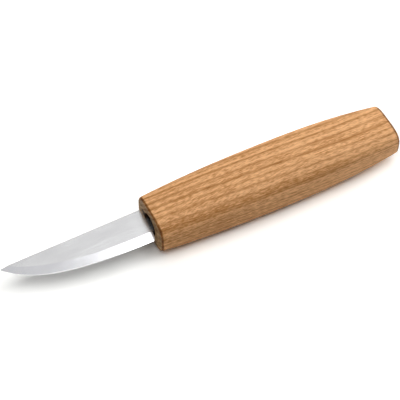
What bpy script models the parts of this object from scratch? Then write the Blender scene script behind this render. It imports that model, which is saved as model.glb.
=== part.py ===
"""Wood carving knife: a ground steel blade whose hidden tang is bedded in epoxy in a hardwood handle.

The pieces are drawn about the knife's own axis: x = 0 at the handle's front face, +X towards the butt,
+Y towards the spine and +Z square to the blade's flats. An empty then lays the knife on its side, so that
the handle's belly touches z = 0 and the knife's length is centred on x = 0. Sizes are in metres.
"""

import math

import bmesh
import bpy
from mathutils import Vector

MM = 0.001

# Handle: a barrel, fullest near its middle, flattened towards the blade's plane
HANDLE_LENGTH = 112.0 * MM
BELLY_POSITION = 57.0 * MM
FRONT_WIDTH = 22.6 * MM
BELLY_WIDTH = 26.6 * MM
BUTT_WIDTH = 21.2 * MM
FRONT_DEPTH = 17.1 * MM
BELLY_DEPTH = 20.8 * MM
BUTT_DEPTH = 13.6 * MM
FRONT_EDGE_RADIUS = 0.8 * MM
BUTT_EDGE_RADIUS = 1.4 * MM
BARREL_CURVE = 2.37
SECTION_SQUARENESS = 3.5

# Blade: flat stock with a straight sloping spine and one wide bevel ground on each side
BLADE_LENGTH = 63.0 * MM
BLADE_WIDTH = 16.3 * MM
BLADE_THICKNESS = 2.0 * MM
EDGE_THICKNESS = 0.15 * MM
BEVEL_WIDTH = 4.1 * MM
BEVEL_TIP_WIDTH = 2.0 * MM
BEVEL_TAPER_LENGTH = 18.0 * MM
SPINE_DROP = 1.5 * MM
STRAIGHT_EDGE = 7.8 * MM
EDGE_SWEEP = 35.6 * MM
TIP_SWEEP = 12.7 * MM
TIP_ANGLE = math.radians(44.6)
TIP_BLUNT = 0.5 * MM
HEEL_GAP = 0.9 * MM
HEEL_CORNER_RADIUS = 1.6 * MM

# Tang: the blade's hidden stem, ground slightly thinner than the blade
TANG_LENGTH = 74.0 * MM
TANG_ROOT_WIDTH = 7.0 * MM
TANG_END_WIDTH = 5.0 * MM
TANG_STEP = 0.1 * MM
TANG_ROOT_OVERLAP = 2.0 * MM

# Epoxy bed that fills the round drilled socket about the tang
BED_SIDE = 1.3 * MM
BED_END = 2.0 * MM
EPOXY_RECESS = 2.0 * MM
DRILL_POINT_ANGLE = math.radians(118.0)
DRILL_CHISEL_RADIUS = 0.5 * MM

# Clearance between neighbouring pieces, and how far a cutter runs past the face it opens
FIT_GAP = 0.3 * MM
CUT_OVERSHOOT = 3.0 * MM

# Mesh fineness
HANDLE_SEGMENTS = 48
SOCKET_SEGMENTS = 28
BARREL_STEPS = 18
ROUND_STEPS = 4
EDGE_STEPS = 22
SHARP_ANGLE = math.radians(28.0)
REACH_STEPS = 12
BEVEL_TOP_SHARE = 0.75

# Sizes that follow from the ones above
HEEL_X = -HEEL_GAP
TANG_THICKNESS = BLADE_THICKNESS - 2 * TANG_STEP
SOCKET_RADIUS = TANG_ROOT_WIDTH / 2 + BED_SIDE
SOCKET_DEPTH = TANG_LENGTH + BED_END

# Finishes: colour in linear light, roughness, metallic
OILED_HARDWOOD = ("oiled_hardwood", (0.67, 0.35, 0.14), 0.55, 0.0)
CARBON_STEEL = ("satin_carbon_steel", (0.72, 0.72, 0.73), 0.28, 1.0)
DARK_EPOXY = ("dark_epoxy", (0.018, 0.014, 0.011), 0.35, 0.0)


def clear_scene():
    for obj in list(bpy.data.objects):
        bpy.data.objects.remove(obj, do_unlink=True)


def new_collection(name):
    collection = bpy.data.collections.new(name)
    bpy.context.scene.collection.children.link(collection)
    return collection


def new_material(finish):
    name, colour, roughness, metallic = finish
    material = bpy.data.materials.new(name)
    material.use_nodes = True
    shader = material.node_tree.nodes["Principled BSDF"]
    shader.inputs["Base Color"].default_value = (*colour, 1.0)
    shader.inputs["Roughness"].default_value = roughness
    shader.inputs["Metallic"].default_value = metallic
    return material


def body_through(name, rings, collection):
    """A closed body: the first ring's face is drawn out through the other rings, and its start is filled."""
    mesh = bpy.data.meshes.new(name)
    bm = bmesh.new()
    cap = bm.faces.new([bm.verts.new(point) for point in rings[0]])
    for ring in rings[1:]:
        cap = bmesh.ops.extrude_discrete_faces(bm, faces=[cap])["faces"][0]
        for vert, point in zip(cap.verts, ring):
            vert.co = point
    bmesh.ops.holes_fill(bm, edges=bm.edges, sides=len(rings[0]))
    bmesh.ops.recalc_face_normals(bm, faces=bm.faces)
    bm.to_mesh(mesh)
    bm.free()
    mesh.shade_smooth()
    mesh.set_sharp_from_angle(angle=SHARP_ANGLE)
    body = bpy.data.objects.new(name, mesh)
    collection.objects.link(body)
    return body


def add_boolean(body, operation, tool):
    modifier = body.modifiers.new(tool.name, "BOOLEAN")
    modifier.operation = operation
    modifier.object = tool


def oval_ring(x, half_width, half_depth, squareness, segments):
    """A superellipse across the axis: squareness 2 is an ellipse, and higher values fill its corners.

    The ring has a narrow flat at each side, at the top and at the bottom, which lies on the full size.
    """
    power = 2 / squareness
    full = math.cos(math.pi / segments) ** power
    ring = []
    for step in range(segments):
        angle = 2 * math.pi * (step + 0.5) / segments
        across = math.copysign(abs(math.cos(angle)) ** power, math.cos(angle)) / full
        up = math.copysign(abs(math.sin(angle)) ** power, math.sin(angle)) / full
        ring.append(Vector((x, half_width * across, half_depth * up)))
    return ring


def rectangle_ring(x, half_width, half_depth):
    corners = ((-1, -1), (1, -1), (1, 1), (-1, 1))
    return [Vector((x, half_width * across, half_depth * up)) for across, up in corners]


def barrel_half(x, front, belly, butt):
    """Half of the barrel's width or depth at x, falling away from the belly towards both ends."""
    if x < BELLY_POSITION:
        end, share = front, (BELLY_POSITION - x) / BELLY_POSITION
    else:
        end, share = butt, (x - BELLY_POSITION) / (HANDLE_LENGTH - BELLY_POSITION)
    return (belly - (belly - end) * share**BARREL_CURVE) / 2


def rounding_inset(radius, run):
    """How far a quarter-round edge lies inside the barrel, at a distance run from the end face."""
    if run >= radius:
        return 0.0
    return radius - math.sqrt(radius**2 - (radius - max(run, 0.0)) ** 2)


def handle_stations():
    """Places along the handle: close together on the rounded ends, wide apart on the barrel."""
    turns = [math.pi / 2 * step / ROUND_STEPS for step in range(ROUND_STEPS + 1)]
    front = [FRONT_EDGE_RADIUS * (1 - math.cos(turn)) for turn in turns]
    butt = [HANDLE_LENGTH - BUTT_EDGE_RADIUS * (1 - math.cos(turn)) for turn in reversed(turns)]
    run = butt[0] - front[-1]
    barrel = [front[-1] + run * step / BARREL_STEPS for step in range(1, BARREL_STEPS)]
    return front + barrel + butt


def handle_ring(x):
    inset = rounding_inset(FRONT_EDGE_RADIUS, x) + rounding_inset(BUTT_EDGE_RADIUS, HANDLE_LENGTH - x)
    half_width = barrel_half(x, FRONT_WIDTH, BELLY_WIDTH, BUTT_WIDTH) - inset
    half_depth = barrel_half(x, FRONT_DEPTH, BELLY_DEPTH, BUTT_DEPTH) - inset
    return oval_ring(x, half_width, half_depth, SECTION_SQUARENESS, HANDLE_SEGMENTS)


def socket_rings(mouth_x, clearance):
    """The drilled socket from mouth_x to the drill's point, less a clearance all round."""
    radius = SOCKET_RADIUS - clearance
    chisel = DRILL_CHISEL_RADIUS
    bottom_x = SOCKET_DEPTH - clearance
    point_x = bottom_x + (radius - chisel) / math.tan(DRILL_POINT_ANGLE / 2)
    places = ((mouth_x, radius), (bottom_x, radius), (point_x, chisel))
    return [oval_ring(x, size, size, 2.0, SOCKET_SEGMENTS) for x, size in places]


def tang_ring(x, clearance):
    share = (x - HEEL_X) / (TANG_LENGTH - HEEL_X)
    half_width = (TANG_ROOT_WIDTH + (TANG_END_WIDTH - TANG_ROOT_WIDTH) * share) / 2
    return rectangle_ring(x, half_width + clearance, TANG_THICKNESS / 2 + clearance)


def spine_y(x):
    return BLADE_WIDTH / 2 - SPINE_DROP * max(-x, 0.0) / BLADE_LENGTH


def edge_stations():
    """Points along the cutting edge with the tangent there: a straight run, then one sweep up to the tip."""
    low = -BLADE_WIDTH / 2
    start = Vector((-STRAIGHT_EDGE, low))
    tip = Vector((-BLADE_LENGTH, spine_y(-BLADE_LENGTH) - TIP_BLUNT))
    leave = start - Vector((EDGE_SWEEP, 0.0))
    arrive = tip + TIP_SWEEP * Vector((math.cos(TIP_ANGLE), -math.sin(TIP_ANGLE)))
    stations = []
    for step in range(ROUND_STEPS + 1):
        run = HEEL_CORNER_RADIUS * (1 - math.cos(math.pi / 2 * step / ROUND_STEPS))
        stations.append((Vector((HEEL_X - run, low)), Vector((-1.0, 0.0))))
    for step in range(EDGE_STEPS + 1):
        t = step / EDGE_STEPS
        s = 1 - t
        point = s**3 * start + 3 * s**2 * t * leave + 3 * s * t**2 * arrive + t**3 * tip
        along = s**2 * (leave - start) + 2 * s * t * (arrive - leave) + t**2 * (tip - arrive)
        stations.append((point, along.normalized()))
    return stations


def blade_ring(point, along):
    """A section square to the edge: spine, top of the bevel and edge, on both sides of the blade.

    At the heel the edge's corner is rounded off, so the section starts a little above the edge line.
    """
    inward = Vector((along.y, -along.x))
    reach = 0.0
    for _ in range(REACH_STEPS):
        reach = (spine_y(point.x + inward.x * reach) - point.y) / inward.y
    taper = max(0.0, 1 - (point.x + BLADE_LENGTH) / BEVEL_TAPER_LENGTH)
    bevel = BEVEL_WIDTH + (BEVEL_TIP_WIDTH - BEVEL_WIDTH) * taper**2
    half_edge = EDGE_THICKNESS / 2
    rise = (BLADE_THICKNESS / 2 - half_edge) / bevel
    heel_inset = rounding_inset(HEEL_CORNER_RADIUS, HEEL_X - point.x)
    upper = []
    for run in (reach, min(bevel, BEVEL_TOP_SHARE * reach), heel_inset):
        place = point + inward * run
        height = min(BLADE_THICKNESS / 2, half_edge + rise * run)
        upper.append(Vector((place.x, place.y, height)))
    lower = [Vector((corner.x, corner.y, -corner.z)) for corner in reversed(upper)]
    return upper + lower


def make_handle(parts, cutters):
    handle = body_through("handle", [handle_ring(x) for x in handle_stations()], parts)
    socket = body_through("socket_cutter", socket_rings(-CUT_OVERSHOOT, 0.0), cutters)
    add_boolean(handle, "DIFFERENCE", socket)
    return handle


def make_blade(parts, cutters):
    blade = body_through("blade", [blade_ring(*station) for station in edge_stations()], parts)
    tang_places = (HEEL_X - TANG_ROOT_OVERLAP, HEEL_X, TANG_LENGTH)
    tang = body_through("tang_stem", [tang_ring(x, 0.0) for x in tang_places], cutters)
    add_boolean(blade, "UNION", tang)
    return blade


def make_epoxy(parts, cutters):
    epoxy = body_through("tang_epoxy", socket_rings(EPOXY_RECESS, FIT_GAP), parts)
    room_places = (EPOXY_RECESS - CUT_OVERSHOOT, TANG_LENGTH + FIT_GAP)
    room = body_through("tang_room_cutter", [tang_ring(x, FIT_GAP) for x in room_places], cutters)
    add_boolean(epoxy, "DIFFERENCE", room)
    return epoxy


def main():
    clear_scene()
    parts = new_collection("wood_carving_knife")
    cutters = new_collection("cutters")

    axis = bpy.data.objects.new("knife_axis", None)
    axis.location = ((BLADE_LENGTH - HANDLE_LENGTH) / 2, 0.0, BELLY_DEPTH / 2)
    parts.objects.link(axis)

    finishes = (
        (make_handle(parts, cutters), OILED_HARDWOOD),
        (make_blade(parts, cutters), CARBON_STEEL),
        (make_epoxy(parts, cutters), DARK_EPOXY),
    )
    for body, finish in finishes:
        body.data.materials.append(new_material(finish))
        body.parent = axis
    for cutter in cutters.objects:
        cutter.parent = axis
        cutter.hide_render = True
        cutter.display_type = "WIRE"


main()
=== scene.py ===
"""Wood carving knife, dressed: an oiled ash handle, a satin ground blade and a bed of dark epoxy.

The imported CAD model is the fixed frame, in metres. Each piece is drawn about the knife's own axis, with
x = 0 at the handle's front face, +X towards the butt and +Y towards the spine, and is then set down in
the frame.
"""

import math

import bmesh
import bpy
from bpy.props import FloatProperty, FloatVectorProperty, PointerProperty
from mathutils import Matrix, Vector, noise


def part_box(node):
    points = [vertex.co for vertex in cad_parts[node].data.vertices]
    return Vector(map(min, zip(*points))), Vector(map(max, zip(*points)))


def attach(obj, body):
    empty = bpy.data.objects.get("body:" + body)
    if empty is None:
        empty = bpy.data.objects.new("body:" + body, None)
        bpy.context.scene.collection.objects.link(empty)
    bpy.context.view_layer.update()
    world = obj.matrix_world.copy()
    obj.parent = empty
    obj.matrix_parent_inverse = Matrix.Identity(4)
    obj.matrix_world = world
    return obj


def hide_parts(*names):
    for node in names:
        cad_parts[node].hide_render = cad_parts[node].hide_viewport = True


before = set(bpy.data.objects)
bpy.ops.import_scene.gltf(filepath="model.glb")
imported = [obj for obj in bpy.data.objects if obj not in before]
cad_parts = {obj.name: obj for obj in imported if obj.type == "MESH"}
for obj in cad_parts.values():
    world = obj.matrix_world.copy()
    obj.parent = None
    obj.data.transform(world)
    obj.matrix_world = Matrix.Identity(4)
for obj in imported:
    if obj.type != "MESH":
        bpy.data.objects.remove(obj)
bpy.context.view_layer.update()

bl_info = {
    "name": "Wood Carving Knife",
    "version": (1, 0, 0),
    "blender": (4, 5, 0),
    "location": "3D View > Sidebar > Knife",
    "description": "Models a hidden-tang wood carving knife and the table it lies on",
    "category": "Object",
}

MM = 0.001
HANDLE_LOW, HANDLE_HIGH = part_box("handle")
BLADE_LOW, BLADE_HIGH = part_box("blade")
AXIS_IN_FRAME = Vector((HANDLE_LOW.x, 0.0, (HANDLE_LOW.z + HANDLE_HIGH.z) / 2))


def linear(hex_code):
    """An sRGB hex colour in linear light, with full alpha."""
    shares = [int(hex_code[place : place + 2], 16) / 255 for place in (1, 3, 5)]
    light = [
        share / 12.92 if share <= 0.04045 else ((share + 0.055) / 1.055) ** 2.4 for share in shares
    ]
    return (*light, 1.0)


def length(name, description, default):
    """A setting for a length in metres."""
    return FloatProperty(
        name=name, description=description, default=default, unit="LENGTH", precision=5
    )


def colour(name, description, hex_code):
    """A setting for a colour, given as sRGB hex."""
    return FloatVectorProperty(
        name=name,
        description=description,
        default=linear(hex_code),
        size=4,
        min=0.0,
        max=1.0,
        subtype="COLOR",
    )


def brightness(name, description, default):
    """A setting for a light's brightness."""
    return FloatProperty(name=name, description=f"{description}, where 1 is white", default=default)


class HandleSettings(bpy.types.PropertyGroup):
    """Sizes and colours of the wooden handle"""

    long: length("Length", "From the front face to the butt", HANDLE_HIGH.x - HANDLE_LOW.x)
    belly_width: length("Belly width", "Width at the fullest place", HANDLE_HIGH.y - HANDLE_LOW.y)
    belly_depth: length("Belly depth", "Depth at the fullest place", HANDLE_HIGH.z - HANDLE_LOW.z)
    belly_place: length("Belly place", "Distance of the fullest place from the front face", 57.0 * MM)
    front_width: length("Front width", "Width at the blade's end", 22.6 * MM)
    front_depth: length("Front depth", "Depth at the blade's end", 17.1 * MM)
    butt_width: length("Butt width", "Width at the butt", 21.2 * MM)
    butt_depth: length("Butt depth", "Depth at the butt", 13.6 * MM)
    front_round: length("Front rounding", "Reach of the eased front edge along the handle", 1.25 * MM)
    front_inset: length("Front inset", "How far the front face lies inside the barrel", 0.5 * MM)
    butt_round: length("Butt rounding", "Radius of the edge round the butt", 1.4 * MM)
    socket_radius: length("Socket radius", "Radius of the drilled socket", 4.8 * MM)
    socket_depth: length("Socket depth", "Depth of the drilled socket's straight part", 76.0 * MM)
    pale_wood: colour("Pale wood", "Palest latewood, dense and dry between the pore lines", "#EBB581")
    deep_wood: colour("Deep wood", "Deepest latewood, where it drinks more oil", "#AF7945")
    earlywood: colour("Earlywood", "Brown line of open pores at the start of each year", "#A56F3C")
    pore: colour("Pore", "Inside of a pore", "#7A4C26")
    end_grain: colour("End grain", "Tint of the cut ends, which drink more oil", "#C9D8E6")
    # Resin stain and painted shade in the corner above the blade's flat
    resin_and_shade: colour("Resin stain", "Resin wiped over the front face beside the spine", "#2B2723")
    # The eased edges are tinted darker than the cut ends
    edge_grain: colour("Edge grain", "Tint of the eased edges, where oil and dirt gather", "#A3937F")
    dark_wall: colour("Dark wall", "Socket wall where the most resin soaked in", "#2A1E15")
    torn_wall: colour("Torn wall", "Socket wall where the drill tore the wood", "#4A3524")


class BladeSettings(bpy.types.PropertyGroup):
    """Sizes and colours of the ground blade"""

    long: length("Length", "From the handle's front face to the tip", HANDLE_LOW.x - BLADE_LOW.x)
    width: length("Width", "Blade width at the handle", 16.3 * MM)
    thick: length("Thickness", "Stock thickness", BLADE_HIGH.z - BLADE_LOW.z)
    bevel: length("Bevel width", "Width of the ground bevel, square to the edge", 4.1 * MM)
    honed: length("Honed edge", "Width of the narrow honed strip along the edge", 0.45 * MM)
    tang_long: length("Tang length", "Length of the tang inside the handle", 74.0 * MM)
    steel: colour("Steel", "Tint of the satin flats", "#C7C7C8")
    ground_steel: colour("Ground steel", "Tint of the finer ground bevels", "#C3C3C6")
    honed_steel: colour("Honed steel", "Tint of the honed edge", "#EDEDEE")


class EpoxySettings(bpy.types.PropertyGroup):
    """Sizes and colour of the epoxy bed round the tang"""

    recess: length("Recess", "Depth of the epoxy's face below the handle's front face", 2.0 * MM)
    creep: length("Creep", "How far the epoxy climbs the socket's wall and the tang", 0.25 * MM)
    resin: colour("Resin", "Dark, nearly opaque resin", "#17120F")
    cloud: colour("Cloud", "Paler swirls in the resin", "#241D19")


class StageSettings(bpy.types.PropertyGroup):
    """Floor, lamps and camera"""

    floor: colour("Floor", "Pale table top", "#ECECEA")
    floor_exposure: FloatProperty(
        name="Floor exposure",
        description="How much brighter the floor looks than it lights the knife",
        default=1.52,
    )
    strip_strength: brightness("Strip", "Brightness of the strip softbox overhead", 2.18)
    back_strength: brightness("Back lamp", "Brightness of the lamp behind the knife", 7.4)
    side_strength: brightness("Side lamp", "Brightness of the lamp beyond the butt", 3.6)
    card_strength: brightness("Bevel card", "Brightness of the card that the bevel mirrors", 3.6)
    sky_strength: brightness("Sky", "Brightness of the light from all round", 0.09)
    lens: FloatProperty(name="Lens", description="Focal length in millimetres", default=144.85)
    distance: length("Camera distance", "From the aim point to the camera", 0.6617)
    azimuth: FloatProperty(
        name="Azimuth",
        description="Camera's turn about the vertical, from looking along +Y",
        default=math.radians(-26.66),
        subtype="ANGLE",
    )
    elevation: FloatProperty(
        name="Elevation",
        description="Camera's angle above the horizon",
        default=math.radians(53.51),
        subtype="ANGLE",
    )
    aim: FloatVectorProperty(
        name="Aim",
        description="Point that the camera looks at",
        default=(0.0, 0.0, 10.4 * MM),
        subtype="TRANSLATION",
        unit="LENGTH",
    )
    shift: FloatVectorProperty(
        name="Shift",
        description="Shift of the picture, as a share of its width",
        default=(-0.0092, 0.0071),
        size=2,
    )


# Shape values that the CAD source shares with the pieces here
BARREL_CURVE = 2.37
BARREL_SQUARENESS = 3.5
DRILL_POINT_ANGLE = math.radians(118.0)
DRILL_CHISEL_RADIUS = 0.5 * MM
SPINE_DROP = 1.5 * MM
STRAIGHT_EDGE = 7.8 * MM
EDGE_SWEEP = 35.6 * MM
TIP_SWEEP = 12.7 * MM
TIP_ANGLE = math.radians(44.6)
HEEL_GAP = 0.9 * MM
HEEL_CORNER = 1.6 * MM
BEVEL_TIP_WIDTH = 2.0 * MM
BEVEL_TAPER = 18.0 * MM
BEVEL_FOOT = 0.075 * MM
TANG_ROOT_WIDTH = 7.0 * MM
TANG_END_WIDTH = 5.0 * MM
TANG_STEP = 0.1 * MM

# Finer shapes that only the pieces here have
MOUTH_CHAMFER = 0.25 * MM
SANDING_DEPTH = 0.05 * MM
SANDING_SIZE = 11.0 * MM
TIP_BLUNT = 0.4 * MM
SPINE_CHAMFER = 0.15 * MM
CHAMFER_PARTS = 6
BEVEL_TOP_SHARE = 0.75
HONED_TOP_SHARE = 0.3
HONED_TAPER = 0.9
HONED_LEAST = 0.05 * MM
EDGE_HALF = 0.02 * MM
WETTED_GAP = 0.03 * MM
CORNER_GAP = 0.12 * MM
SLOT_SQUARENESS = 24.0
SHOULDER_MARGIN = 0.001 * MM

# Mesh fineness, and the angles past which an edge is drawn sharp
SEGMENTS = 96
BARREL_STEPS = 64
ROUND_STEPS = 8
FACE_STEPS = 4
EDGE_STEPS = 72
REACH_STEPS = 12
HANDLE_CREASE = math.radians(30.0)
BLADE_CREASE = math.radians(5.0)
EPOXY_CREASE = math.radians(40.0)

# How the handle was cut from its tree: the pith's place and lean in the frame, the stem's bend and the
# years' width and offset in millimetres, and a number that chooses how strong each year's line is
PITH = (31.5 * MM, -25.69 * MM, -18.3 * MM)
PITH_LEAN = (0.0, math.radians(3.66), math.radians(2.59))
STEM_BEND = 0.0005
YEAR_WIDTH = 2.04
YEAR_OFFSET = 31.66
YEAR_CHOICE = 5141.0

# Stage
FLOOR_HALF = 3.0
FLOOR_DROP = 0.02 * MM
NEAR_CLIP = 0.01


def oval_ring(x, half_width, half_depth, squareness=2.0):
    """Points round the axis on a superellipse: squareness 2 is an ellipse, more fills its corners."""
    power = 2 / squareness
    ring = []
    for step in range(SEGMENTS):
        angle = 2 * math.pi * (step + 0.5) / SEGMENTS
        across = math.copysign(abs(math.cos(angle)) ** power, math.cos(angle))
        up = math.copysign(abs(math.sin(angle)) ** power, math.sin(angle))
        ring.append(Vector((x, half_width * across, half_depth * up)))
    return ring


def between(first, second, share):
    """The ring that lies a share of the way from the first ring to the second."""
    return [near.lerp(far, share) for near, far in zip(first, second)]


def draw_out(rings, skins=None):
    """A closed body: a disc is drawn out through the rings, and its start is filled.

    Each ring is a list of points. skins gives the material slot of the strip beside each point.
    """
    bm = bmesh.new()
    bmesh.ops.create_circle(bm, cap_ends=True, segments=len(rings[0]), radius=1.0)
    bm.faces.ensure_lookup_table()
    cap = bm.faces[0]
    for vert, point in zip(cap.verts, rings[0]):
        vert.co = point
    for ring in rings[1:]:
        cap = bmesh.ops.extrude_discrete_faces(bm, faces=[cap])["faces"][0]
        for vert, point in zip(cap.verts, ring):
            vert.co = point
        for loop, skin in zip(cap.loops, skins or ()):
            loop.link_loop_radial_next.face.material_index = skin
    bmesh.ops.holes_fill(bm, edges=bm.edges, sides=len(rings[0]))
    bmesh.ops.recalc_face_normals(bm, faces=bm.faces)
    return bm


def finish_piece(bm, name, sharp_angle, materials, node):
    """Set the body down in the frame as the piece that stands for a CAD node."""
    bmesh.ops.translate(bm, verts=bm.verts, vec=AXIS_IN_FRAME)
    mesh = bpy.data.meshes.new(name)
    bm.to_mesh(mesh)
    bm.free()
    mesh.shade_smooth()
    mesh.set_sharp_from_angle(angle=sharp_angle)
    for material in materials:
        mesh.materials.append(material)
    piece = bpy.data.objects.new(name, mesh)
    bpy.context.scene.collection.objects.link(piece)
    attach(piece, "root")
    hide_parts(node)


def add_node(tree, kind, inputs=None, **settings):
    """Add a shader node, set its properties, and set or link its inputs by name or place."""
    made = tree.nodes.new("ShaderNode" + kind)
    for name, value in settings.items():
        setattr(made, name, value)
    for key, value in (inputs or {}).items():
        if isinstance(value, bpy.types.Node):
            value = value.outputs[0]
        if isinstance(value, bpy.types.NodeSocket):
            tree.links.new(value, made.inputs[key])
        else:
            made.inputs[key].default_value = value
    return made


def new_material(name, **sockets):
    """A material with constants on its shader's sockets, returned with its node tree and shader."""
    material = bpy.data.materials.new(name)
    material.use_nodes = True
    shader = material.node_tree.nodes["Principled BSDF"]
    for socket, value in sockets.items():
        shader.inputs[socket.replace("_", " ")].default_value = value
    return material, material.node_tree, shader


def oiled_ash(handle):
    """Ash, turned, sanded and oiled: brown pore lines at each year's start and pale latewood between.

    The pattern is solid, in millimetres about the tree's pith, so lines on the sides turn to arcs on
    the ends.
    """
    material, tree, shader = new_material("oiled_ash", IOR=1.47, Specular_IOR_Level=0.12)
    place = add_node(tree, "TexCoord")
    grain = add_node(
        tree,
        "Mapping",
        {
            "Vector": place.outputs["Object"],
            "Location": PITH,
            "Rotation": PITH_LEAN,
            "Scale": (MM, MM, MM),
        },
        vector_type="TEXTURE",
    )

    # The stem bends a little along the handle, sways slowly, and its rings ripple on the way
    run = add_node(tree, "SeparateXYZ", {0: grain})
    squared = add_node(tree, "Math", {0: run, 1: run}, operation="MULTIPLY")
    bend = add_node(tree, "Math", {0: squared, 1: STEM_BEND}, operation="MULTIPLY")
    sideways = add_node(tree, "CombineXYZ", {"Y": bend})
    bent = add_node(tree, "VectorMath", {0: grain, 1: sideways}, operation="ADD")
    across = add_node(tree, "VectorMath", {0: bent, 1: (0.0, 1.0, 1.0)}, operation="MULTIPLY")
    radius = add_node(tree, "VectorMath", {0: across}, operation="LENGTH").outputs["Value"]
    slow = add_node(tree, "VectorMath", {0: bent, 1: (45.0, 16.0, 16.0)}, operation="DIVIDE")
    sway = add_node(tree, "TexNoise", {"Vector": slow, "Scale": 1.0, "Detail": 1.0})
    quick = add_node(tree, "VectorMath", {0: bent, 1: (8.0, 2.6, 2.6)}, operation="DIVIDE")
    ripple = add_node(tree, "TexNoise", {"Vector": quick, "Scale": 1.0, "Detail": 2.0})
    swayed = add_node(tree, "Math", {0: sway, 1: 0.6, 2: radius}, operation="MULTIPLY_ADD")
    rippled = add_node(tree, "Math", {0: ripple, 1: 0.3, 2: swayed}, operation="MULTIPLY_ADD")

    # Years are about 2 mm wide but uneven, and each leaves a line of its own strength
    from_ring = add_node(tree, "Math", {0: rippled, 1: YEAR_OFFSET}, operation="SUBTRACT")
    years = add_node(
        tree, "Math", {0: from_ring, 1: 1 / YEAR_WIDTH, 2: YEAR_CHOICE}, operation="MULTIPLY_ADD"
    )
    rings = add_node(
        tree, "TexVoronoi", {"W": years, "Scale": 1.0, "Randomness": 0.45}, voronoi_dimensions="1D"
    )
    season = add_node(tree, "Math", {0: years, 1: rings.outputs["W"]}, operation="SUBTRACT")
    chance = add_node(tree, "SeparateColor", {0: rings.outputs["Color"]})
    restraint = add_node(
        tree, "MapRange", {"Value": chance.outputs["Red"], "To Min": 1.0, "To Max": 0.45}
    )
    weather = add_node(tree, "Math", {0: chance.outputs["Blue"], 1: restraint}, operation="MULTIPLY")
    vigour = add_node(tree, "MapRange", {"Value": weather, "To Min": 0.4, "To Max": 0.95})

    # The wood darkens slowly into each line and starts pale again after it. The line fades in places
    darkening = add_node(
        tree,
        "MapRange",
        {"Value": season, "From Min": -0.3, "From Max": -0.03},
        interpolation_type="SMOOTHSTEP",
    )
    clearing = add_node(
        tree,
        "MapRange",
        {"Value": season, "From Min": 0.0, "From Max": 0.2, "To Min": 1.0, "To Max": 0.0},
        interpolation_type="SMOOTHSTEP",
    )
    porous = add_node(tree, "Math", {0: darkening, 1: clearing}, operation="MULTIPLY")
    stretch = add_node(tree, "VectorMath", {0: bent, 1: (13.0, 2.0, 2.0)}, operation="DIVIDE")
    fading = add_node(tree, "TexNoise", {"Vector": stretch, "Scale": 1.0, "Detail": 1.0})
    fade = add_node(
        tree, "MapRange", {"Value": fading, "From Min": 0.3, "From Max": 0.6, "To Min": 0.55}
    )
    strength = add_node(tree, "Math", {0: vigour, 1: fade}, operation="MULTIPLY")
    usual = add_node(tree, "Math", {0: porous, 1: strength}, operation="MULTIPLY")

    # On the near side a pale year, which left no line, lies inside slow years that stayed dark. Towards
    # the butt those dark years fade: painted light, where the near side turns towards the lamps
    bands = []
    for start, full, leaving, gone, share in (
        (33.0, 33.6, 36.0, 36.5, 0.9),
        (36.4, 37.0, 38.0, 38.4, 0.6),
        (36.3, 37.2, 40.2, 40.9, -0.28),
    ):
        rise = add_node(
            tree,
            "MapRange",
            {"Value": rippled, "From Min": start, "From Max": full},
            interpolation_type="SMOOTHSTEP",
        )
        fall = add_node(
            tree,
            "MapRange",
            {"Value": rippled, "From Min": leaving, "From Max": gone, "To Min": share, "To Max": 0.0},
            interpolation_type="SMOOTHSTEP",
        )
        bands.append(add_node(tree, "Math", {0: rise, 1: fall}, operation="MULTIPLY"))
    pale_year, dark_year, slow_years = bands
    # Painted light: the near side's dark years fade towards the butt
    butt_light_fade = add_node(
        tree,
        "MapRange",
        {"Value": run, "From Min": 22.0, "From Max": 48.0, "To Min": 1.0, "To Max": -0.3},
    )
    unlined = add_node(tree, "Mix", {0: pale_year, 2: usual, 3: 0.0}, data_type="FLOAT")
    darkened = add_node(tree, "Math", {0: dark_year, 1: butt_light_fade}, operation="MULTIPLY")
    line = add_node(tree, "Mix", {0: darkened, 2: unlined, 3: 0.6}, data_type="FLOAT")

    # Pores are 3 mm long; their real 0.15 mm width is drawn at 0.3 mm so that it shows
    dashes = add_node(tree, "VectorMath", {0: bent, 1: (3.2, 0.3, 0.3)}, operation="DIVIDE")
    speckle = add_node(tree, "TexNoise", {"Vector": dashes, "Scale": 1.0, "Detail": 0.0})
    open_pore = add_node(
        tree,
        "MapRange",
        {"Value": speckle, "From Min": 0.56, "From Max": 0.68},
        interpolation_type="SMOOTHSTEP",
    )
    crowd = add_node(tree, "MapRange", {"Value": line, "To Min": 0.18, "To Max": 1.0})
    pores = add_node(tree, "Math", {0: open_pore, 1: crowd}, operation="MULTIPLY")

    # Fibres run 16 mm long, flecks of dipping grain 2.4 mm, patches 30 mm; layers lie 0.7 mm apart
    strands = add_node(tree, "VectorMath", {0: bent, 1: (16.0, 0.7, 0.7)}, operation="DIVIDE")
    fibre = add_node(
        tree, "TexNoise", {"Vector": strands, "Scale": 1.0, "Detail": 3.0, "Roughness": 0.6}
    )
    flakes = add_node(tree, "VectorMath", {0: bent, 1: (2.4, 0.5, 0.5)}, operation="DIVIDE")
    fleck = add_node(tree, "TexNoise", {"Vector": flakes, "Scale": 1.0, "Detail": 2.0})
    patches = add_node(tree, "VectorMath", {0: bent, 1: (30.0, 6.0, 6.0)}, operation="DIVIDE")
    cloud = add_node(tree, "TexNoise", {"Vector": patches, "Scale": 1.0, "Detail": 2.0})
    layer = add_node(
        tree, "TexNoise", {"W": rippled, "Scale": 1 / 0.7, "Detail": 2.0}, noise_dimensions="1D"
    )

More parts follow.
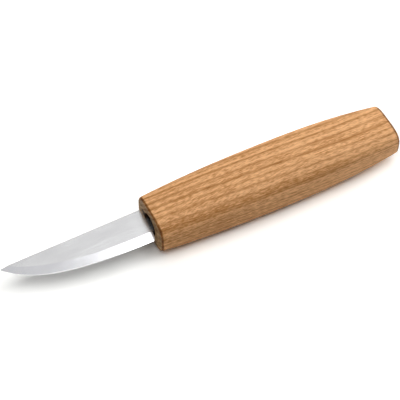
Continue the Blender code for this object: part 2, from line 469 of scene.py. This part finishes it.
    # Painted light: the wood is painted paler towards the butt, most of all nearest the pith on the
    # near side, where the barrel turns towards the lamps
    inner = add_node(
        tree,
        "MapRange",
        {"Value": rippled, "From Min": 38.0, "From Max": 33.5, "To Min": 0.17, "To Max": 1.0},
    )
    painted_butt_light = add_node(
        tree,
        "MapRange",
        {"Value": run, "From Min": -30.0, "From Max": 50.0, "To Min": -0.18, "To Max": 0.36},
    )
    paler = add_node(tree, "Math", {0: painted_butt_light, 1: inner, 2: 0.61}, operation="MULTIPLY_ADD")
    paleness = add_node(
        tree, "Math", {0: slow_years, 1: butt_light_fade, 2: paler}, operation="MULTIPLY_ADD"
    )

    # Each pattern swings the paleness about its middle, so that together they stay between two browns
    for pattern, swing in ((fibre, 0.8), (fleck, 2.4), (cloud, 0.6), (layer, 0.95)):
        aside = add_node(tree, "Math", {0: pattern, 1: 0.5}, operation="SUBTRACT")
        paleness = add_node(
            tree, "Math", {0: aside, 1: swing, 2: paleness}, operation="MULTIPLY_ADD"
        )
    ground = add_node(
        tree, "Mix", {0: paleness, 6: handle.deep_wood, 7: handle.pale_wood}, data_type="RGBA"
    ).outputs[2]
    lined = add_node(
        tree, "Mix", {0: line, 6: ground, 7: handle.earlywood}, data_type="RGBA"
    ).outputs[2]
    pored_share = add_node(tree, "Math", {0: pores, 1: 0.5}, operation="MULTIPLY")
    pored = add_node(
        tree, "Mix", {0: pored_share, 6: lined, 7: handle.pore}, data_type="RGBA"
    ).outputs[2]

    # The cut ends take up more oil than the sides and are tinted darker and greyer; their eased edges are
    # tinted darker still, and unevenly: the front face is the dirtier one
    facing = add_node(tree, "SeparateXYZ", {0: place.outputs["Normal"]})
    endwise = add_node(tree, "Math", {0: facing.outputs["X"]}, operation="ABSOLUTE")
    cut_end = add_node(
        tree,
        "MapRange",
        {"Value": endwise, "From Min": 0.16, "From Max": 0.3},
        interpolation_type="SMOOTHSTEP",
    )
    flat_end = add_node(
        tree,
        "MapRange",
        {"Value": endwise, "From Min": 0.7, "From Max": 0.97},
        interpolation_type="SMOOTHSTEP",
    )
    blots = add_node(tree, "VectorMath", {0: bent, 1: (6.0, 1.8, 1.8)}, operation="DIVIDE")
    soak = add_node(tree, "TexNoise", {"Vector": blots, "Scale": 1.0, "Detail": 3.0})
    blotch = add_node(
        tree,
        "MapRange",
        {"Value": soak, "From Min": 0.35, "From Max": 0.65, "To Min": -1.0, "To Max": 1.0},
    )
    grime = add_node(
        tree,
        "MapRange",
        {"Value": facing, "From Min": -1.0, "From Max": 1.0, "To Min": 0.4, "To Max": 0.12},
    )
    mottle = add_node(tree, "Math", {0: blotch, 1: grime, 2: 1.0}, operation="MULTIPLY_ADD")
    tint = add_node(
        tree, "Mix", {0: flat_end, 6: handle.edge_grain, 7: handle.end_grain}, data_type="RGBA"
    ).outputs[2]
    stain = add_node(tree, "VectorMath", {0: tint, "Scale": mottle}, operation="SCALE")
    ended = add_node(
        tree, "Mix", {0: cut_end, 6: pored, 7: stain}, data_type="RGBA", blend_type="MULTIPLY"
    ).outputs[2]

    # Resin was wiped over the front face beside the spine, and its dark patch also stands for painted
    # shade in the corner just above the blade's flat
    resin_and_shade_centre = AXIS_IN_FRAME + Vector((0.0, 5.6 * MM, 1.0 * MM))
    beside = add_node(tree, "VectorMath", {0: place.outputs["Object"], 1: resin_and_shade_centre}, operation="SUBTRACT")
    spread = add_node(
        tree, "VectorMath", {0: beside, 1: (2.0 * MM, 2.8 * MM, 1.6 * MM)}, operation="DIVIDE"
    )
    reach = add_node(tree, "VectorMath", {0: spread}, operation="LENGTH").outputs["Value"]
    ragged = add_node(tree, "Math", {0: soak, 1: 0.8, 2: reach}, operation="MULTIPLY_ADD")
    wiped = add_node(
        tree,
        "MapRange",
        {"Value": ragged, "From Min": 1.1, "From Max": 1.6, "To Min": 0.85, "To Max": 0.0},
        interpolation_type="SMOOTHSTEP",
    )
    wood = add_node(
        tree, "Mix", {0: wiped, 6: ended, 7: handle.resin_and_shade}, data_type="RGBA"
    ).outputs[2]
    tree.links.new(wood, shader.inputs["Base Color"])

    gloss = add_node(tree, "MapRange", {"Value": pores, "To Min": 0.6, "To Max": 0.8})
    tree.links.new(gloss.outputs[0], shader.inputs["Roughness"])

    # Open pores and soft earlywood lie a few hundredths of a millimetre below the latewood
    hollow = add_node(tree, "Math", {0: line, 1: 0.35, 2: pores}, operation="MULTIPLY_ADD")
    relief = add_node(tree, "Math", {0: fibre, 1: 0.5}, operation="MULTIPLY")
    height = add_node(tree, "Math", {0: relief, 1: hollow}, operation="SUBTRACT")
    bump = add_node(tree, "Bump", {"Height": height, "Distance": 0.05 * MM, "Strength": 0.6})
    tree.links.new(bump.outputs[0], shader.inputs["Normal"])
    return material


def drilled_ash(handle):
    """The socket's drilled wall: ash torn by the drill and stained by resin, so dark and matt."""
    material, tree, shader = new_material(
        "drilled_ash", IOR=1.47, Roughness=0.8, Specular_IOR_Level=0.2
    )
    place = add_node(tree, "TexCoord")
    turns = add_node(
        tree,
        "VectorMath",
        {0: place.outputs["Object"], 1: (0.4 * MM, 3.0 * MM, 3.0 * MM)},
        operation="DIVIDE",
    )
    torn = add_node(tree, "TexNoise", {"Vector": turns, "Scale": 1.0, "Detail": 2.0})
    wall = add_node(
        tree, "Mix", {0: torn, 6: handle.dark_wall, 7: handle.torn_wall}, data_type="RGBA"
    ).outputs[2]
    tree.links.new(wall, shader.inputs["Base Color"])
    bump = add_node(tree, "Bump", {"Height": torn, "Distance": 0.1 * MM, "Strength": 0.7})
    tree.links.new(bump.outputs[0], shader.inputs["Normal"])
    return material


def ground_steel(name, tint, unevenness, roughness, line_size, line_depth):
    """Carbon steel ground on a belt: a neutral metal whose fine lines soften what it mirrors.

    unevenness is the share by which the tint brightens and dulls in patches. line_size is the size of
    the grinding lines along the frame's axes, and line_depth their depth, in metres.
    """
    material, tree, shader = new_material(name, Metallic=1.0)
    place = add_node(tree, "TexCoord")
    lines = add_node(tree, "VectorMath", {0: place.outputs["Object"], 1: line_size}, operation="DIVIDE")
    scratch = add_node(
        tree, "TexNoise", {"Vector": lines, "Scale": 1.0, "Detail": 3.0, "Roughness": 0.6}
    )
    drift = add_node(
        tree,
        "VectorMath",
        {0: place.outputs["Object"], 1: (14.0 * MM, 5.0 * MM, 5.0 * MM)},
        operation="DIVIDE",
    )
    cloud = add_node(tree, "TexNoise", {"Vector": drift, "Scale": 1.0, "Detail": 2.0})
    both = add_node(tree, "Math", {0: scratch, 1: cloud}, operation="MULTIPLY")
    rough = add_node(
        tree,
        "MapRange",
        {
            "Value": both,
            "From Min": 0.1,
            "From Max": 0.4,
            "To Min": 0.85 * roughness,
            "To Max": 1.15 * roughness,
        },
    )
    tree.links.new(rough.outputs[0], shader.inputs["Roughness"])
    dull = [share * (1 - unevenness) for share in tint[:3]] + [1.0]
    bright = [share * (1 + unevenness) for share in tint[:3]] + [1.0]
    patch = add_node(tree, "MapRange", {"Value": both, "From Min": 0.1, "From Max": 0.4})
    tone = add_node(tree, "Mix", {0: patch, 6: dull, 7: bright}, data_type="RGBA").outputs[2]
    tree.links.new(tone, shader.inputs["Base Color"])
    bump = add_node(tree, "Bump", {"Height": scratch, "Distance": line_depth, "Strength": 1.0})
    tree.links.new(bump.outputs[0], shader.inputs["Normal"])
    return material


def dark_epoxy(epoxy):
    """Two-part epoxy, poured and cured: dark, smooth and a little cloudy, with a low sheen."""
    material, tree, shader = new_material("dark_epoxy", IOR=1.55, Specular_IOR_Level=0.08)
    place = add_node(tree, "TexCoord")
    swirl = add_node(
        tree,
        "VectorMath",
        {0: place.outputs["Object"], 1: (2.0 * MM, 2.0 * MM, 2.0 * MM)},
        operation="DIVIDE",
    )
    cloud = add_node(tree, "TexNoise", {"Vector": swirl, "Scale": 1.0, "Detail": 3.0})
    tint = add_node(tree, "Mix", {0: cloud, 6: epoxy.resin, 7: epoxy.cloud}, data_type="RGBA")
    tree.links.new(tint.outputs[2], shader.inputs["Base Color"])
    gloss = add_node(tree, "MapRange", {"Value": cloud, "To Min": 0.3, "To Max": 0.5})
    tree.links.new(gloss.outputs[0], shader.inputs["Roughness"])
    return material


def barrel_half(handle, x, front, belly, butt):
    """Half of the barrel's width or depth at x, falling away from the belly towards both ends."""
    if x < handle.belly_place:
        end, share = front, (handle.belly_place - x) / handle.belly_place
    else:
        end, share = butt, (x - handle.belly_place) / (handle.long - handle.belly_place)
    return (belly - (belly - end) * share**BARREL_CURVE) / 2


def round_inset(radius, run):
    """How far a quarter-round edge lies inside the barrel, at a distance run from the end face."""
    if run >= radius:
        return 0.0
    return radius - math.sqrt(radius**2 - (radius - max(run, 0.0)) ** 2)


def barrel_ring(handle, x):
    """The barrel's outline at x, drawn in where an end edge is rounded."""
    inset = round_inset(handle.front_round, x) * handle.front_inset / handle.front_round
    inset += round_inset(handle.butt_round, handle.long - x)
    half_width = barrel_half(handle, x, handle.front_width, handle.belly_width, handle.butt_width)
    half_depth = barrel_half(handle, x, handle.front_depth, handle.belly_depth, handle.butt_depth)
    return oval_ring(x, half_width - inset, half_depth - inset, BARREL_SQUARENESS)


def barrel_places(handle):
    """Places along the barrel: close together on its rounded ends, evenly spaced between them."""
    turns = [math.pi / 2 * step / ROUND_STEPS for step in range(ROUND_STEPS + 1)]
    front = [handle.front_round * (1 - math.cos(turn)) for turn in turns]
    butt = [handle.long - handle.butt_round * (1 - math.cos(turn)) for turn in reversed(turns)]
    run = butt[0] - front[-1]
    middle = [front[-1] + run * step / BARREL_STEPS for step in range(1, BARREL_STEPS)]
    return front + middle + butt


def drill_end(depth, radius):
    """How deep the drill's small flat end reaches, past a straight wall of this depth and radius."""
    return depth + (radius - DRILL_CHISEL_RADIUS) / math.tan(DRILL_POINT_ANGLE / 2)


def socket_rings(handle):
    """The drilled socket from its point to its mouth, which has a small chamfer."""
    radius, depth = handle.socket_radius, handle.socket_depth
    places = (
        (drill_end(depth, radius), DRILL_CHISEL_RADIUS),
        (depth, radius),
        (MOUTH_CHAMFER, radius),
        (0.0, radius + MOUTH_CHAMFER),
    )
    return [oval_ring(x, size, size) for x, size in places]


def model_handle(handle):
    """One closed skin: up the socket, over the front face, along the barrel and across the butt."""
    socket = socket_rings(handle)
    barrel = [barrel_ring(handle, x) for x in barrel_places(handle)]
    front = [between(socket[-1], barrel[0], step / FACE_STEPS) for step in range(1, FACE_STEPS)]
    middle = [Vector((handle.long, 0.0, 0.0))] * SEGMENTS
    butt = [between(barrel[-1], middle, step / FACE_STEPS) for step in range(1, FACE_STEPS)]
    bm = draw_out(socket + front + barrel + butt)

    # The socket's wall takes the second material, but the middle of the butt doesn't
    for face in bm.faces:
        centre = face.calc_center_median()
        near_axis = math.hypot(*centre.yz) < handle.socket_radius + MOUTH_CHAMFER / 2
        face.material_index = int(near_axis and centre.x < handle.long - MM)

    # Hand sanding leaves the barrel a few hundredths of a millimetre uneven
    bm.normal_update()
    for vert in bm.verts:
        if handle.front_round < vert.co.x < handle.long - handle.butt_round:
            if math.hypot(*vert.co.yz) > handle.socket_radius + MM:
                ease = min(vert.co.x, handle.long - vert.co.x, SANDING_SIZE) / SANDING_SIZE
                worn = 0.5 + 0.5 * noise.noise(vert.co / SANDING_SIZE)
                vert.co -= vert.normal * SANDING_DEPTH * worn * ease
    return bm


def spine_y(blade, x):
    """The spine's height at x: it drops a little towards the tip."""
    return blade.width / 2 - SPINE_DROP * max(-x, 0.0) / blade.long


def edge_places(blade):
    """Points along the cutting edge and the tangents there: a straight run, then a sweep to the tip."""
    low = -blade.width / 2
    start = Vector((-STRAIGHT_EDGE, low))
    tip = Vector((-blade.long, spine_y(blade, -blade.long) - TIP_BLUNT))
    leave = start - Vector((EDGE_SWEEP, 0.0))
    arrive = tip + TIP_SWEEP * Vector((math.cos(TIP_ANGLE), -math.sin(TIP_ANGLE)))
    places = []
    for step in range(ROUND_STEPS + 1):
        run = HEEL_CORNER * (1 - math.cos(math.pi / 2 * step / ROUND_STEPS))
        places.append((Vector((-HEEL_GAP - run, low)), Vector((-1.0, 0.0))))
    for step in range(EDGE_STEPS + 1):
        t = step / EDGE_STEPS
        s = 1 - t
        point = s**3 * start + 3 * s**2 * t * leave + 3 * s * t**2 * arrive + t**3 * tip
        along = s**2 * (leave - start) + 2 * s * t * (arrive - leave) + t**2 * (tip - arrive)
        places.append((point, along.normalized()))
    return places


def both_sides(upper):
    """A blade section from the points of its upper side, listed from spine to edge."""
    return upper + [Vector((point.x, point.y, -point.z)) for point in reversed(upper)]


def blade_section(blade, point, along):
    """A section square to the edge: chamfered spine, flat, bevel and honed edge."""
    inward = Vector((along.y, -along.x))
    reach = 0.0
    for _ in range(REACH_STEPS):
        reach = (spine_y(blade, point.x + inward.x * reach) - point.y) / inward.y
    taper = max(0.0, 1 - (point.x + blade.long) / BEVEL_TAPER)
    bevel = blade.bevel + (BEVEL_TIP_WIDTH - blade.bevel) * taper**2
    half = blade.thick / 2
    rise = (half - BEVEL_FOOT) / bevel
    chamfer = min(SPINE_CHAMFER, reach / CHAMFER_PARTS)
    foot = round_inset(HEEL_CORNER, -HEEL_GAP - point.x)
    bevel_top = min(bevel, BEVEL_TOP_SHARE * reach)
    honed = blade.honed * (1 - HONED_TAPER * math.sqrt(taper))
    honed_top = max(min(honed, HONED_TOP_SHARE * reach), foot + HONED_LEAST)
    top = min(half, BEVEL_FOOT + rise * bevel_top)
    runs = (
        (reach, top - chamfer),
        (reach - chamfer, top),
        (bevel_top, top),
        (honed_top, BEVEL_FOOT + rise * honed_top),
        (foot, EDGE_HALF + rise * foot),
    )
    return both_sides(
        [(point + inward * run).to_3d() + Vector((0.0, 0.0, height)) for run, height in runs]
    )


def tang_half_width(blade, x):
    """Half of the tang's width at x: it narrows evenly from the heel to its end."""
    share = (x + HEEL_GAP) / (blade.tang_long + HEEL_GAP)
    return (TANG_ROOT_WIDTH + (TANG_END_WIDTH - TANG_ROOT_WIDTH) * share) / 2


def tang_section(blade, x):
    """The tang's section, with as many points as the blade's, so that one runs into the other."""
    half_width = tang_half_width(blade, x)
    half = blade.thick / 2 - TANG_STEP
    chamfer = SPINE_CHAMFER
    upper = (
        (half_width, half - chamfer),
        (half_width - chamfer, half),
        (-half_width / 2, half),
        (chamfer - half_width, half),
        (-half_width, half - chamfer),
    )
    return both_sides([Vector((x, y, z)) for y, z in upper])


def model_blade(blade):
    """One closed skin from the tang's end over the heel's shoulders to the tip."""
    rings = [tang_section(blade, x) for x in (blade.tang_long, -HEEL_GAP)]
    rings += [blade_section(blade, *place) for place in edge_places(blade)]
    flat, bevel, honed = 0, 1, 2
    skins = (flat, flat, bevel, honed, honed, honed, bevel, flat, flat, flat)
    bm = draw_out(rings, skins)

    # The heel's shoulders and the tang are left as satin as the flats
    for face in bm.faces:
        if face.calc_center_median().x > -HEEL_GAP - SHOULDER_MARGIN:
            face.material_index = flat
    return bm


def model_epoxy(epoxy, handle, blade):
    """The resin fills the socket round the tang, and its face sags between the two."""
    slot = []
    for x in (blade.tang_long + WETTED_GAP, epoxy.recess - epoxy.creep):
        half_width = tang_half_width(blade, x) + CORNER_GAP
        half_depth = blade.thick / 2 - TANG_STEP + WETTED_GAP
        slot.append(oval_ring(x, half_width, half_depth, SLOT_SQUARENESS))
    radius = handle.socket_radius - WETTED_GAP
    rim = oval_ring(epoxy.recess - epoxy.creep, radius, radius)
    face = []
    for step in range(1, ROUND_STEPS):
        share = step / ROUND_STEPS
        sag = Vector((epoxy.creep * math.sqrt(math.sin(math.pi * share)), 0.0, 0.0))
        face.append([point + sag for point in between(slot[-1], rim, share)])
    depth = handle.socket_depth - WETTED_GAP
    wall = oval_ring(depth, radius, radius)
    foot = oval_ring(drill_end(depth, radius), DRILL_CHISEL_RADIUS, DRILL_CHISEL_RADIUS)
    return draw_out(slot + face + [rim, wall, foot])


class KNIFE_OT_handle(bpy.types.Operator):
    """Model the barrel-shaped wooden handle with its drilled socket"""

    bl_idname = "knife.handle"
    bl_label = "Handle"

    def execute(self, context):
        handle = context.scene.knife_handle
        materials = (oiled_ash(handle), drilled_ash(handle))
        finish_piece(
            model_handle(handle), "wooden_handle", HANDLE_CREASE, materials, "handle"
        )
        return {"FINISHED"}


class KNIFE_OT_blade(bpy.types.Operator):
    """Model the ground blade with its hidden tang"""

    bl_idname = "knife.blade"
    bl_label = "Blade"

    def execute(self, context):
        blade = context.scene.knife_blade

        # Real grinding lines lie under 0.1 mm apart, and are drawn 0.25 mm apart so that they show
        along = (30.0 * MM, 0.25 * MM, 2.0 * MM)
        across = (0.25 * MM, 20.0 * MM, 20.0 * MM)
        materials = (
            ground_steel("satin_carbon_steel", blade.steel, 0.04, 0.24, along, 0.002 * MM),
            ground_steel("ground_carbon_steel", blade.ground_steel, 0.02, 0.21, across, 0.001 * MM),
            ground_steel("honed_carbon_steel", blade.honed_steel, 0.01, 0.12, along, 0.001 * MM),
        )
        finish_piece(
            model_blade(blade), "ground_blade", BLADE_CREASE, materials, "blade"
        )
        return {"FINISHED"}


class KNIFE_OT_epoxy(bpy.types.Operator):
    """Model the epoxy that beds the tang in the handle's socket"""

    bl_idname = "knife.epoxy"
    bl_label = "Epoxy bed"

    def execute(self, context):
        scene = context.scene
        bm = model_epoxy(scene.knife_epoxy, scene.knife_handle, scene.knife_blade)
        materials = (dark_epoxy(scene.knife_epoxy),)
        finish_piece(bm, "epoxy_bed", EPOXY_CREASE, materials, "tang_epoxy")
        return {"FINISHED"}


class KNIFE_OT_stage(bpy.types.Operator):
    """Lay a pale floor, hang the lamps and set the camera"""

    bl_idname = "knife.stage"
    bl_label = "Stage"

    def execute(self, context):
        stage = context.scene.knife_stage
        lay_floor(stage)
        light_sky(stage)
        hang_lamps(stage)
        set_camera(stage)
        context.scene.view_settings.view_transform = "Standard"
        return {"FINISHED"}


def lay_floor(stage):
    """A wide table top, just below the knife."""
    bm = bmesh.new()
    bmesh.ops.create_grid(bm, x_segments=1, y_segments=1, size=FLOOR_HALF)
    bmesh.ops.translate(bm, verts=bm.verts, vec=(0.0, 0.0, -FLOOR_DROP))
    mesh = bpy.data.meshes.new("floor")
    bm.to_mesh(mesh)
    bm.free()
    floor = bpy.data.objects.new("floor", mesh)
    bpy.context.scene.collection.objects.link(floor)

    # Matt laminate: plain white, without gloss, and exposed until it is pure white beyond the shadow
    material, tree, shader = new_material("matt_white_laminate", Roughness=1.0, Specular_IOR_Level=0.0)
    exposed = [stage.floor_exposure * share for share in stage.floor[:3]] + [1.0]
    shown = add_node(
        tree,
        "Mix",
        {0: seen_directly(tree), 6: stage.floor, 7: exposed},
        data_type="RGBA",
        clamp_result=False,
    ).outputs[2]
    tree.links.new(shown, shader.inputs["Base Color"])
    mesh.materials.append(material)


def seen_directly(tree):
    """1 for rays that show the background itself, to the camera, in metal or through glass, else 0."""
    path = add_node(tree, "LightPath")
    camera, glossy = path.outputs["Is Camera Ray"], path.outputs["Is Glossy Ray"]
    through = path.outputs["Is Transmission Ray"]
    mirrored = add_node(tree, "Math", {0: glossy, 1: through}, operation="MAXIMUM")
    shown = add_node(tree, "Math", {0: camera, 1: mirrored}, operation="MAXIMUM")
    unscattered = add_node(
        tree, "Math", {0: path.outputs["Diffuse Depth"], 1: 0.5}, operation="LESS_THAN"
    )
    return add_node(tree, "Math", {0: shown, 1: unscattered}, operation="MULTIPLY")


def light_sky(stage):
    """A white room that shows as plain white but lights the knife only a little."""
    world = bpy.data.worlds.new("studio")
    bpy.context.scene.world = world
    world.use_nodes = True
    tree = world.node_tree
    tree.nodes.clear()
    white = (1.0, 1.0, 1.0, 1.0)
    lighting = add_node(tree, "Background", {"Color": white, "Strength": stage.sky_strength})
    backdrop = add_node(tree, "Background", {"Color": white, "Strength": 1.0})
    sky = add_node(tree, "MixShader", {0: seen_directly(tree), 1: lighting, 2: backdrop})
    add_node(tree, "OutputWorld", {"Surface": sky})


def hang_lamp(name, place, size, facing, strength):
    """A panel of light at a place, of a width and height, that faces a direction."""
    lamp = bpy.data.lights.new(name, "AREA")
    lamp.shape = "RECTANGLE"
    lamp.size, lamp.size_y = size
    lamp.energy = strength * math.pi * lamp.size * lamp.size_y
    panel = bpy.data.objects.new(name, lamp)
    panel.location = place
    panel.rotation_euler = Vector(facing).to_track_quat("-Z", "Y").to_euler()
    panel.visible_camera = False
    bpy.context.scene.collection.objects.link(panel)
    return panel


def hang_lamps(stage):
    """A strip softbox overhead, lamps behind the knife and beyond its butt, and a card for the bevel.

    The lamps light the wood and the floor but aren't mirrored, and the card is only mirrored.
    """
    down, to_tip = (0.0, 0.0, -1.0), (-1.0, 0.0, 0.0)
    behind = Vector((0.44, 1.37, 0.69))
    strip = hang_lamp("strip_softbox", (0.70, -0.18, 1.4), (4.06, 1.16), down, stage.strip_strength)
    back = hang_lamp("back_lamp", behind, (0.5, 0.5), -behind, stage.back_strength)
    side = hang_lamp("side_lamp", (1.5, 0.7, 0.38), (1.4, 0.75), to_tip, stage.side_strength)
    for lamp in (strip, back, side):
        lamp.visible_glossy = False
    card = hang_lamp("bevel_card", (0.43, -0.01, 0.7), (0.65, 0.7), down, stage.card_strength)
    card.visible_diffuse = False


def set_camera(stage):
    """A camera at the photo's angle, looking at the aim point."""
    camera = bpy.data.objects.new("camera", bpy.data.cameras.new("camera"))
    camera.data.lens = stage.lens
    camera.data.shift_x, camera.data.shift_y = stage.shift
    level = math.cos(stage.elevation)
    back = Vector((math.sin(stage.azimuth) * level, -math.cos(stage.azimuth) * level, 0.0))
    back.z = math.sin(stage.elevation)
    camera.location = Vector(stage.aim) + back * stage.distance
    camera.rotation_euler = (-back).to_track_quat("-Z", "Y").to_euler()
    camera.data.clip_start = NEAR_CLIP
    bpy.context.scene.collection.objects.link(camera)
    bpy.context.scene.camera = camera


class KNIFE_PT_sidebar(bpy.types.Panel):
    """Lists the knife's pieces and their settings"""

    bl_idname = "KNIFE_PT_sidebar"
    bl_label = "Wood Carving Knife"
    bl_space_type = "VIEW_3D"
    bl_region_type = "UI"
    bl_category = "Knife"

    def draw(self, context):
        for operator, settings in PIECES:
            box = self.layout.box()
            box.operator(operator.bl_idname)
            group = getattr(context.scene, settings)
            for name in group.bl_rna.properties.keys():
                if name not in ("rna_type", "name"):
                    box.prop(group, name)


PIECES = (
    (KNIFE_OT_handle, "knife_handle"),
    (KNIFE_OT_blade, "knife_blade"),
    (KNIFE_OT_epoxy, "knife_epoxy"),
    (KNIFE_OT_stage, "knife_stage"),
)
SETTINGS = {
    "knife_handle": HandleSettings,
    "knife_blade": BladeSettings,
    "knife_epoxy": EpoxySettings,
    "knife_stage": StageSettings,
}
CLASSES = (*SETTINGS.values(), *(operator for operator, _ in PIECES), KNIFE_PT_sidebar)


def register():
    for cls in CLASSES:
        bpy.utils.register_class(cls)
    for name, group in SETTINGS.items():
        setattr(bpy.types.Scene, name, PointerProperty(type=group))


def unregister():
    for name in SETTINGS:
        delattr(bpy.types.Scene, name)
    for cls in reversed(CLASSES):
        bpy.utils.unregister_class(cls)


def main():
    register()
    bpy.ops.knife.handle()
    bpy.ops.knife.blade()
    bpy.ops.knife.epoxy()
    bpy.ops.knife.stage()


if __name__ == "__main__":
    main()
